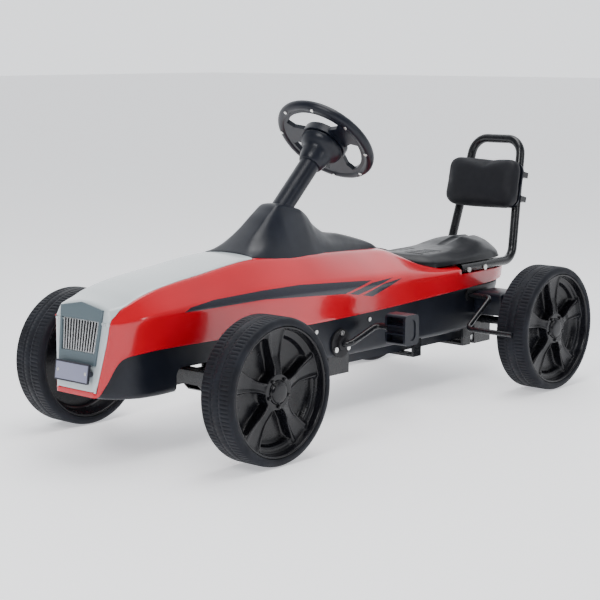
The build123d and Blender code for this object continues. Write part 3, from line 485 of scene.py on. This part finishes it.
def body_surface():
    """The whole outside of the body, from a leaning front face to a rounded tail."""
    y_knots = [rib[0] for rib in BODY_RIBS]
    values = np.array([rib[1:] for rib in BODY_RIBS], float)
    stations = np.concatenate((np.linspace(-590, -540, 12), np.linspace(-533, -240, 34),
                               np.linspace(-230, 526, 72)))
    rows = []

    def ring(y_mid, inset, depth):
        lean_share = np.clip((-470 - y_mid) / 100, 0, 1)
        probe = track(y_knots, values, y_mid)
        soft = 0.10 + 0.16 * np.clip((y_mid + 520) / 260, 0, 1)
        section = mirrored_section(half_section(probe, soft, CORNER_SOFT, BODY_COUNTS))
        if lean_share > 0:
            y_at = y_mid + LEAN * (section[:, 1] - 190) * lean_share
            shapes = track(y_knots, values, y_at)
            half = len(section) // 2
            for k in range(len(section)):
                own = half_section(shapes[k], soft, CORNER_SOFT, BODY_COUNTS)
                point = own[k] if k <= half else own[2 * half - k] * np.array((-1, 1))
                section[k] = point
        if inset:
            section = offset_inwards(section, inset)
        y = y_mid + LEAN * (section[:, 1] - 190) * lean_share + depth
        return np.stack((section[:, 0], y, section[:, 1]), 1)

    face_y = nose_y(190)
    for step in range(ROUNDING_STEPS):
        angle = math.radians(90 * step / ROUNDING_STEPS)
        inset = NOSE_RADIUS * (1 - math.sin(angle))
        rows.append(ring(face_y + NOSE_RADIUS, inset, -NOSE_RADIUS * math.cos(angle)))
    for y in stations:
        if y > face_y + NOSE_RADIUS - 0.5:
            rows.append(ring(y, 0, 0))
    for step in range(1, 7):
        angle = math.radians(90 * step / 6)
        rows.append(ring(531, 9 * (1 - math.cos(angle)), 9 * math.sin(angle)))
    columns = len(rows[0])
    points = np.vstack(rows)
    faces = grid_faces(len(rows), columns)
    half = columns // 2
    for end in (rows[0], rows[-1]):
        shares = np.linspace(0, 1, END_COLUMNS)[:, None]
        fill = [end[k] + (end[-1 - k] - end[k]) * shares for k in range(half + 1)]
        first = len(points)
        points = np.vstack((points, *fill))
        faces += [tuple(first + index for index in face)
                  for face in grid_faces(half + 1, END_COLUMNS)]
    return points, faces


LOWER_EDGE = ((-640, 118), (-602, 118), (-596, 121), (-586, 138), (-570, 172), (-562, 180),
              (-548, 184.5), (-480, 189), (-100, 184), (560, 205.5))
LOWER_Y = [p[0] for p in LOWER_EDGE]
LOWER_Z = [p[1] for p in LOWER_EDGE]


def lower_edge(point):
    """Height above the shell's lower edge."""
    return point.z - float(track(LOWER_Y, LOWER_Z, point.y))


def soft_min(a, b, reach):
    """The smaller of two values with a rounded change-over."""
    h = max(reach - abs(a - b), 0.0) / reach
    return min(a, b) - h * h * reach / 4


def hood_edge(point):
    """Positive outside the pale hood and nose panel, negative inside it."""
    seam = 69.0 - 7.0 * min(max((point.y + 545) / 307, 0), 1)
    if point.y < -500:
        seam = soft_min(seam, 49 + (point.z - 127) * 0.175, 8.0)
    across = abs(point.x) - seam
    return max(across, point.y - HOOD_REAR_Y, 127.0 - point.z)


def window_edge(point):
    """Negative inside the grille opening of the front face."""
    if point.y > -560:
        return 50.0
    half = 39.5 + (point.z - 188) / 56 * 4
    return max(abs(point.x) - half, 191 - point.z, point.z - 241)


def notch_edge(point):
    """Negative inside the two recesses for the backrest tubes."""
    return max(71 - abs(point.x), 344 - point.y, 229 - point.z)


body_points, body_quads = body_surface()
body_whole = make_object("body_whole", body_points, body_quads)
fix_normals(body_whole)


def body_panel(name, cuts, wanted, thickness):
    """One panel of the body skin: cut along lines, keep what is wanted and give it thickness."""
    panel = copy_mesh(body_whole, name)
    bm = bmesh.new()
    bm.from_mesh(panel.data)
    for line in cuts:
        cut(bm, line)
    keep(bm, wanted)
    bm.to_mesh(panel.data)
    bm.free()
    modifier(panel, "SOLIDIFY", thickness=thickness * MM, offset=-1.0, use_even_offset=False)
    modifier(panel, "BEVEL", width=0.6 * MM, segments=2, limit_method="ANGLE",
             angle_limit=SHARP_EDGE)
    return panel


hood = body_panel("hood_panel_skin", (lambda p: hood_edge(p) + 0.3, window_edge),
                  lambda p: hood_edge(p) < -0.3 and window_edge(p) > 0, SKIN)
finish_piece(hood, "chassis", WHITE.material, "white_plastic", "hood_panel")
shell = body_panel("body_shell_skin", (lambda p: hood_edge(p) - 0.3, lower_edge, notch_edge),
                   lambda p: hood_edge(p) > 0.3 and lower_edge(p) > 0 and notch_edge(p) > 0, SKIN)
finish_piece(shell, "chassis", RED.material, "red_plastic", "body_shell")
bpy.data.objects.remove(body_whole)


# ---------------------------------------------------------------- wheels
# A wheel is made with its axis along X, outer side towards +X and its middle plane at x = 0.
SPOKE_HALF = ((18, 9), (30, 9.5), (45, 8.8), (56, 9.4), (60, 11), (84, 17.5), (105, 23))
DISH = ((18, 25.5), (29.5, 25.5), (30.5, 24.6), (31.6, 9), (33.5, 5.5), (50, 3.5), (72, 3.5),
        (86, 5), (90.5, 7.5), (93, 14.5), (94.5, 16.5), (102, 17.5), (104.4, 19))
SPOKE_TOP = ((18, 25.5), (29.5, 25.5), (33, 24.5), (45, 22.5), (57, 19.6), (63, 18.6), (82, 18.4),
             (95, 19.6), (104.4, 21.2))
LIP = ((105.2, 27.5), (105.9, 32.2), (107.2, 33.6), (109.6, 33.6), (110.8, 32.4), (110.9, 29))
RIM_RADII = (18, 21, 25, 28, 29.6, 30.4, 31.6, 33.2, 37, 44, 50, 55, 58, 61, 68, 76, 84, 88.5,
             90.8, 92.6, 94, 95.6, 98.5, 101.8, 103.6, 104.4)
ACROSS = (-1.0, -0.93, -0.86, -0.79, -0.72, -0.65, -0.6, -0.56, -0.525, -0.5, -0.475, -0.43,
          -0.375, -0.34, -0.28, -0.14, 0.0, 0.14, 0.28, 0.34, 0.375, 0.43, 0.475, 0.5, 0.525,
          0.56, 0.6, 0.65, 0.72, 0.79, 0.86, 0.93)


def along(table, r):
    """Straight-line value of a two-column table."""
    return float(np.interp(r, [p[0] for p in table], [p[1] for p in table]))


def rim_height(r, s):
    """How far the rim's face stands out at radius r and place s across its sector."""
    s = abs(s)
    dish, top = along(DISH, r), along(SPOKE_TOP, r)
    reach = min(max((r - 31) / 4, 0), 1) * min(max((105 - r) / 5, 0), 1)
    ridge = 1.7 * reach if 0.36 < s < 0.48 else 0.0
    groove = -0.7 * reach if s < 0.3 else 0.0
    wall = min(max((0.535 - s) / 0.05, 0), 1)
    return dish + (max(top, dish) + ridge + groove - dish) * wall


def make_rim():
    """Five-spoke rim: spokes that widen outwards between raised edges, a dish and a deep lip."""
    points = []
    columns = SPOKES * len(ACROSS)
    sector = math.pi / SPOKES
    for r in RIM_RADII:
        spoke = math.asin(min(along(SPOKE_HALF, r) / r, 0.55))
        for k in range(SPOKES):
            for s in ACROSS:
                share = abs(s) / 0.5
                turn = spoke * share if share <= 1 else spoke + (sector - spoke) * (share - 1)
                angle = math.pi / 2 + k * 2 * sector + math.copysign(turn, s)
                points.append((rim_height(r, s), r * math.cos(angle), r * math.sin(angle)))
    last = points[-columns:]
    back = ((110.9, -29), (110.8, -32.4), (109.6, -33.4), (107, -33.4), (105.6, -32), (104.4, -27),
            (101, -4), (97, 1.5), (60, 0.5), (34, 1.5), (30, -2), (28, -20), (26.5, -24),
            (19, -25), (18, -24))
    for r, x in LIP + back:
        for _, y, z in last:
            scale = r / math.hypot(y, z)
            points.append((x, y * scale, z * scale))
    rows = len(RIM_RADII) + len(LIP) + len(back)
    rim = make_object("rim_master", points, grid_faces(rows, columns, close_rows=True,
                                                       close_columns=True))
    lugs = []
    for k in range(SPOKES):
        angle = math.pi / 2 + (2 * k + 1) * sector
        lugs.append(lathe("lug", ((0, 29.2), (2.1, 29.2), (2.9, 28.6), (3.1, 27.6), (3.1, 25)), 16,
                          (0, 24.2 * math.cos(angle), 24.2 * math.sin(angle))))
    fix_normals(rim)
    modifier(rim, "SUBSURF", levels=1, render_levels=1)
    apply_modifiers(rim)
    return joined("rim_master", rim, *lugs)


def lathe(name, profile, segments, centre=(0, 0, 0)):
    """Revolve (radius, x) points about a line along X through a centre."""
    points = []
    for r, x in profile:
        for k in range(segments):
            angle = 2 * math.pi * k / segments
            points.append((centre[0] + x, centre[1] + r * math.cos(angle),
                           centre[2] + r * math.sin(angle)))
    made = make_object(name, points, grid_faces(len(profile), segments, close_columns=True))
    fix_normals(made)
    return made


TREAD = (  # x, radius, groove share: shoulder sipes, plain bands and two dotted lines
    (35, 111, 0), (35, 115.5, 0), (34.6, 118.5, 0), (33.4, 121.2, 0), (31.6, 123, 0), (29.4, 124.2, 0),
    (28.6, 124.45, 1), (24, 124.95, 1), (17, 125, 1), (13.4, 125, 1), (12.8, 125, 0), (9.2, 125, 0),
    (8.9, 125, 2), (7.1, 125, 2), (6.8, 125, 0), (0, 125, 0))
GROOVES = 104


def make_tyre():
    """Tyre with fine sipes across both shoulders of its tread."""
    right = [(-x, r, g) for x, r, g in TREAD[-2::-1]]
    bead = [(-30.5, 111, 0), (-30, 108.6, 0), (0, 108.6, 0), (30, 108.6, 0), (30.5, 111, 0)]
    profile = list(TREAD) + right + bead
    steps = (0.0, 0.10, 0.20, 0.30, 0.65)
    deep = (0, 1, 1, 0, 0)
    points = []
    for x, r, groove in profile:
        for k in range(GROOVES):
            for share, down in zip(steps, deep):
                angle = 2 * math.pi * (k + share) / GROOVES
                if groove == 2:
                    depth = 0.9 if share in (0.30, 0.65) else 0.0
                else:
                    depth = 1.1 * groove * down
                points.append((x, (r - depth) * math.cos(angle), (r - depth) * math.sin(angle)))
    tyre = make_object("tyre_master", points,
                       grid_faces(len(profile), GROOVES * len(steps), True, True))
    fix_normals(tyre)
    return tyre


rim_master = make_rim()
tyre_master = make_tyre()
cap_master = lathe("cap_master", ((0, 31.6), (8, 31.6), (14.6, 31.2), (16.6, 30.6), (17.8, 29.2),
                                  (18, 27.8), (18.6, 27.2), (19.6, 27), (20, 25.4)), 56)
WHEELS = (("front_left", 1, FRONT_Y, "front_left_wheel"),
          ("front_right", -1, FRONT_Y, "front_right_wheel"),
          ("rear_left", 1, REAR_Y, "rear_axle_set"), ("rear_right", -1, REAR_Y, "rear_axle_set"))
for label, hand, y, body in WHEELS:
    for kind, master, finish, slot_name in (("rim", rim_master, WHEEL, "wheel_plastic"),
                                            ("tyre", tyre_master, RUBBER, "tyre_rubber"),
                                            ("cap", cap_master, WHEEL, "wheel_plastic")):
        piece = copy_mesh(master, f"{label}_{kind}_detail")
        move = Matrix.Translation(Vector((hand * WHEEL_X, y, AXLE_Z)) * MM)
        piece.data.transform(move @ Matrix.Diagonal((hand, 1, 1, 1)))
        if hand < 0:
            piece.data.flip_normals()
        finish_piece(piece, body, finish.material, slot_name, f"{label}_{kind}")
for master in (rim_master, tyre_master, cap_master):
    bpy.data.objects.remove(master)


# ---------------------------------------------------------------- seat and steering cowl
COWL_RIBS = (
    (-240, 62, 300, 61, 318, 40, 320, 322), (-215, 66, 298, 62, 318, 30, 337, 339),
    (-180, 69, 296, 59, 324, 25, 362, 364), (-150, 69, 295, 55, 330, 24, 385, 388),
    (-126, 68, 294, 52, 333, 23, 399, 402), (-70, 63, 292, 47, 331, 23, 388, 391),
    (-48, 60, 291, 44, 327, 20, 377, 380), (-25, 56, 290, 41, 321, 17, 356, 359),
    (16, 50, 288, 36, 314, 15, 335, 338), (60, 42, 286, 30, 308, 13, 328, 331),
    (110, 32, 283, 23, 302, 11, 316, 319), (160, 18, 280, 14, 294, 8, 302, 304),
    (184, 8, 278, 7, 287, 4, 291, 292))
SEAT_RIBS = (
    (215, 8, 255, 9, 270, 5, 275, 277), (232, 28, 252, 30, 266, 18, 275, 278),
    (252, 55, 249, 56, 260, 35, 273, 277), (282, 80, 249, 79, 258, 55, 272, 276),
    (340, 89, 250.5, 87, 260, 62, 272, 275), (395, 89, 250.5, 87, 262, 62, 274, 277),
    (430, 88, 250.5, 85, 264, 60, 280, 285), (465, 85, 250.5, 80, 266, 52, 285, 291),
    (500, 76, 250.5, 70, 264, 42, 283, 291), (522, 62, 250.5, 56, 262, 34, 275, 281),
    (537, 46, 250.5, 41, 256, 26, 262, 266))


def ribbed_piece(name, ribs, step, soft_mid, soft_high, counts, relief=None):
    """A closed moulding lofted through ribs, with an optional relief pressed into its top."""
    knots = [rib[0] for rib in ribs]
    values = np.array([rib[1:] for rib in ribs], float)
    stations = np.append(np.arange(knots[0], knots[-1], step), knots[-1])
    rows = []
    for y in stations:
        half = half_section(track(knots, values, y), soft_mid, soft_high, counts)
        section = mirrored_section(half)
        if relief:
            section[:, 1] -= [relief(x, y) for x in section[:, 0]]
        rows.append(np.stack((section[:, 0], np.full(len(section), y), section[:, 1]), 1))
    columns = len(rows[0])
    faces = grid_faces(len(rows), columns, close_columns=True)
    faces.append(tuple(range(columns)))
    faces.append(tuple(range((len(rows) - 1) * columns, len(rows) * columns)))
    piece = make_object(name, np.vstack(rows), faces)
    fix_normals(piece)
    modifier(piece, "BEVEL", width=1.2 * MM, segments=2, limit_method="ANGLE",
             angle_limit=SHARP_EDGE)
    return piece


def dip(distance, half_width, depth):
    """Depth of a rounded groove at a distance from its centre line."""
    return depth * (1 - (distance / half_width) ** 2) if abs(distance) < half_width else 0.0


def seat_relief(x, y):
    """Slanted vent grooves at the front and a channel between the rear bumps."""
    deep = 0.0
    if 12 < abs(x) < 46:
        for first in (264, 284, 304, 324):
            deep = max(deep, dip(y - first - (abs(x) - 12) * 0.45, 4.6, 4.2))
    if y > 385:
        deep = max(deep, dip(x, 11, 3.2) * min((y - 385) / 25, 1))
    return deep


cowl = ribbed_piece("steering_cowl_skin", COWL_RIBS, 4, 0.35, 0.3, (4, 7, 9, 9, 7))
finish_piece(cowl, "chassis", BLACK.material, "black_plastic", "steering_cowl")
seat = ribbed_piece("seat_skin", SEAT_RIBS, 1.6, 0.35, 0.3, (3, 6, 14, 10, 24), seat_relief)
finish_piece(seat, "chassis", SEAT.material, "seat_plastic", "seat")


# ---------------------------------------------------------------- backrest pad
def soft_pad(name, source):
    """Inflate a slightly smaller copy of a pad with cloth pressure, up to a limit, and fix the shape."""
    pad = copy_mesh(source, name)
    pad.data.transform(source.matrix_world)
    centre = sum((v.co for v in pad.data.vertices), Vector()) / len(pad.data.vertices)
    shrink = Matrix.Translation(centre) @ Matrix.Scale(PAD_SHRINK, 4) @ Matrix.Translation(-centre)
    pad.data.transform(shrink)
    modifier(pad, "REMESH", mode="VOXEL", voxel_size=PAD_VOXEL * MM)
    apply_modifiers(pad)
    start = [v.co.copy() for v in pad.data.vertices]
    cloth = modifier(pad, "CLOTH")
    cloth.settings.use_pressure = True
    cloth.settings.uniform_pressure_force = 4.0
    cloth.settings.effector_weights.gravity = 0.0
    cloth.point_cache.frame_start = 1
    cloth.point_cache.frame_end = CLOTH_FRAMES
    for frame_number in range(1, CLOTH_FRAMES + 1):
        bpy.context.scene.frame_set(frame_number)
    apply_modifiers(pad)
    bpy.context.scene.frame_set(1)
    for vertex, first in zip(pad.data.vertices, start):
        move = vertex.co - first
        if move.length > PAD_SWELL * MM:
            vertex.co = first + move * (PAD_SWELL * MM / move.length)
    for polygon in pad.data.polygons:
        polygon.use_smooth = True
    modifier(pad, "SMOOTH", factor=0.5, iterations=10)
    modifier(pad, "SUBSURF", levels=1, render_levels=1)
    return pad


pad = soft_pad("backrest_pad_soft", nodes["backrest_pad"])
finish_piece(pad, "chassis", VINYL.material, "pad_vinyl", "backrest_pad")


# ---------------------------------------------------------------- lower tub
TUB_PLAN = ((40, -590), (60, -566), (72, -545), (81, -514), (84, -466), (84, -420), (84, -330),
            (84, 440), (71, 500), (54, 530))
TUB_BOTTOM_Y = (-600, -560, -524, -484, -454, 560)
TUB_BOTTOM_Z = (112, 109.5, 108, 108, 109, 107)
TUB_SOFT = 11.0
TUB_LIP = 17.0


def rounded_loop(points, passes):
    """Cut the corners of a closed outline again and again until it is smooth."""
    loop = np.array(points, float)
    for _ in range(passes):
        ahead = np.roll(loop, -1, axis=0)
        loop = np.stack((loop * 0.75 + ahead * 0.25, loop * 0.25 + ahead * 0.75), 1).reshape(-1, 2)
    return loop


def refined_loop(loop, step):
    """Add points to a closed outline's long sides."""
    refined = []
    for a, b in zip(loop, np.roll(loop, -1, axis=0)):
        count = max(1, int(np.linalg.norm(b - a) / step))
        refined.extend(a + (b - a) * k / count for k in range(count))
    return np.array(refined)


def tub_surface():
    """Walls that follow the plan and turn in under the bottom with a soft corner."""
    plan = list(TUB_PLAN) + [(-x, y) for x, y in TUB_PLAN[::-1]]
    loop = refined_loop(rounded_loop(plan, 3), 12)
    tangent = np.roll(loop, -1, axis=0) - np.roll(loop, 1, axis=0)
    inward = np.stack((-tangent[:, 1], tangent[:, 0]), 1)
    inward /= np.linalg.norm(inward, axis=1)[:, None]
    rows = []
    for x_y, normal in zip(loop, inward):
        low = float(np.interp(x_y[1], TUB_BOTTOM_Y, TUB_BOTTOM_Z))
        profile = [(0.0, 197 - k * (197 - low - TUB_SOFT) / 9) for k in range(10)]
        for step in range(1, 7):
            angle = math.radians(90 * step / 6)
            profile.append((TUB_SOFT * (1 - math.cos(angle)), low + TUB_SOFT * (1 - math.sin(angle))))
        profile.append((TUB_LIP, low))
        rows.append([(*(x_y + normal * inset), z) for inset, z in profile])
    columns = len(rows[0])
    return np.array(rows).reshape(-1, 3), grid_faces(len(rows), columns, close_rows=True)


def arch_edge(point):
    """Negative inside the front wheel arch."""
    dy, dz = abs(point.y + 371) - 66, point.z - 137
    return max(dy, dz) - 14 if min(dy, dz) < 0 else math.hypot(dy, dz) - 14


def tail_edge(point):
    """Negative behind the sloping tail."""
    return max(496 - point.y, (point.z - 178) - (point.y - 496) * 0.75)


tub = make_object("lower_tub_skin", *tub_surface())
fix_normals(tub)
tub_mesh = bmesh.new()
tub_mesh.from_mesh(tub.data)
for line in (arch_edge, tail_edge):
    cut(tub_mesh, line)
keep(tub_mesh, lambda p: arch_edge(p) > 0 and tail_edge(p) > 0)
tub_mesh.to_mesh(tub.data)
tub_mesh.free()
modifier(tub, "SOLIDIFY", thickness=SKIN * MM, offset=-1.0)
modifier(tub, "BEVEL", width=0.8 * MM, segments=2, limit_method="ANGLE",
         angle_limit=SHARP_EDGE)
apply_modifiers(tub)


def hollow_box(name, x0, x1, y0, y1, z0, z1):
    """A box moulding open at the bottom, with rounded edges."""
    corners = [(x, y, z) for z in (z0, z1) for x, y in ((x0, y0), (x1, y0), (x1, y1), (x0, y1))]
    faces = [(4, 5, 6, 7), (0, 1, 5, 4), (1, 2, 6, 5), (2, 3, 7, 6), (3, 0, 4, 7)]
    box = make_object(name, corners, faces)
    fix_normals(box)
    modifier(box, "BEVEL", width=7 * MM, segments=4, limit_method="ANGLE",
             angle_limit=SHARP_EDGE)
    modifier(box, "SOLIDIFY", thickness=SKIN * MM, offset=-1.0)
    apply_modifiers(box)
    return box


wings = [hollow_box("wing", *sorted((hand * 83, hand * 155)), 402, 478, 142, 188)
         for hand in (-1, 1)]
tail_wall = make_object("tail_wall", [(-60, 489, 114), (60, 489, 114), (60, 492, 180),
                                      (-60, 492, 180), (60, 529, 206), (-60, 529, 206)],
                        [(0, 1, 2, 3), (3, 2, 4, 5)], smooth=False)
modifier(tail_wall, "SOLIDIFY", thickness=SKIN * MM, offset=0.0)
apply_modifiers(tail_wall)
tub = joined("lower_tub_skin", tub, tail_wall, *wings)
finish_piece(tub, "chassis", BLACK.material, "black_plastic", "lower_tub")


# ---------------------------------------------------------------- painted shade: a black sheet behind the grille stands in for the shade inside the hollow nose
shade_sheet_points = [(x, nose_y(z) + 9, z) for z in (187, 245) for x in (-50, -25, 0, 25, 50)]
# black sheet 9 mm behind the front face: painted shade, not a part of the kart
shade_sheet = make_object("grille_shade_sheet", shade_sheet_points, grid_faces(2, 5), smooth=False)
modifier(shade_sheet, "SOLIDIFY", thickness=1.5 * MM, offset=0.0)
finish_piece(shade_sheet, "chassis", BLACK.material, "black_plastic")


# ---------------------------------------------------------------- steering wheel boss
def along_steering(obj):
    """Turn a piece made round X so that it sits on the steering axis, +X towards the driver."""
    axis = Vector((0, math.cos(STEER_TILT), math.sin(STEER_TILT)))
    turn = Vector((1, 0, 0)).rotation_difference(axis).to_matrix().to_4x4()
    obj.data.transform(Matrix.Translation(Vector(STEER_CENTRE) * MM) @ turn)


boss = lathe("steering_boss_skin", (
    (12, -65.6), (21, -65.6), (22.6, -64.6), (25.5, -58), (27.6, -50), (28.6, -42), (29.6, -37),
    (33.5, -32), (38, -28), (41, -23.5), (42.6, -19), (43, -15), (43, -12.4), (12, -12.4)), 64)
along_steering(boss)
modifier(boss, "SUBSURF", levels=1, render_levels=1)
finish_piece(boss, "steering", BLACK.material, "black_plastic", "steering_boss")


# ---------------------------------------------------------------- CAD nodes that stay
SLOT_OF = {entry["node"]: entry["material_slot"] for entry in frame["record"]["subparts"]}
BEVELS = {"zinc_steel": 0.4, "black_steel": 0.6, "grille_grey": 1.2, "bright_trim": 0.7}
for name, node in nodes.items():
    if node.hide_render:
        continue
    node.data.materials.clear()
    node.data.materials.append(FINISHES[SLOT_OF[name]].material)
    bevelled(node, BEVELS.get(SLOT_OF[name], 0.8))

# ---------------------------------------------------------------- floor, lights and camera
floor_shader = Shader("studio_floor", Roughness=0.6, Emission_Strength=0.55)
floor_shader.main.inputs["Emission Color"].default_value = rgb(0.95, 0.96, 1.0)
floor_shader.colour(floor_shader.mix(floor_shader.noise(2, 2), rgb(0.93, 0.93, 0.94),
                                     rgb(0.96, 0.96, 0.96)))
floor = make_object("studio_floor", [(-30000, -30000, 0), (30000, -30000, 0), (30000, 30000, 0),
                                     (-30000, 30000, 0)], [(0, 1, 2, 3)], smooth=False)
floor.data.materials.append(floor_shader.material)

world = bpy.data.worlds.new("studio")
world.use_nodes = True
sky = world.node_tree
direction = sky.nodes.new("ShaderNodeTexCoord").outputs["Generated"]
facing = sky.nodes.new("ShaderNodeVectorMath")
facing.operation = "DOT_PRODUCT"
facing.inputs[1].default_value = (-0.66, 0.75, 0.0)
sky.links.new(direction, facing.inputs[0])
glow = sky.nodes.new("ShaderNodeMapRange")
for index, number in enumerate((-0.1, 0.6, 0.2, 1.7), 1):
    glow.inputs[index].default_value = number
sky.links.new(facing.outputs["Value"], glow.inputs[0])
backdrop = sky.nodes["Background"]
backdrop.inputs[0].default_value = rgb(0.95, 0.97, 1.0)
sky.links.new(glow.outputs[0], backdrop.inputs[1])
bpy.context.scene.world = world


def area_light(name, place, target, size, power):
    """A soft rectangular lamp aimed at a point, in metres and watts."""
    lamp = bpy.data.lights.new(name, "AREA")
    lamp.shape = "RECTANGLE"
    lamp.size, lamp.size_y = size
    lamp.energy = power
    made = bpy.data.objects.new(name, lamp)
    made.location = place
    made.rotation_mode = "QUATERNION"
    made.rotation_quaternion = (Vector(target) - Vector(place)).to_track_quat("-Z", "Y")
    bpy.context.scene.collection.objects.link(made)


area_light("key", (0.6, -2.6, 2.4), (0, 0, 0.25), (1.2, 1.2), 52)
area_light("top", (0.3, 0.2, 3.0), (0, 0, 0.2), (2.6, 1.4), 60)
area_light("side", (3.2, 0.4, 1.3), (0, 0, 0.2), (0.5, 1.6), 16)

camera_data = bpy.data.cameras.new("camera")
camera_data.sensor_width = 36.0
camera_data.lens = 1632.5 / 600 * 36
camera = bpy.data.objects.new("camera", camera_data)
camera.location = (2.0348, -2.3330, 0.6858)
camera.rotation_mode = "QUATERNION"
camera_aim = Vector((-0.0349, -0.0041, 0.2035))
camera.rotation_quaternion = (camera_aim - camera.location).to_track_quat("-Z", "Y")
bpy.context.scene.collection.objects.link(camera)
bpy.context.scene.camera = camera
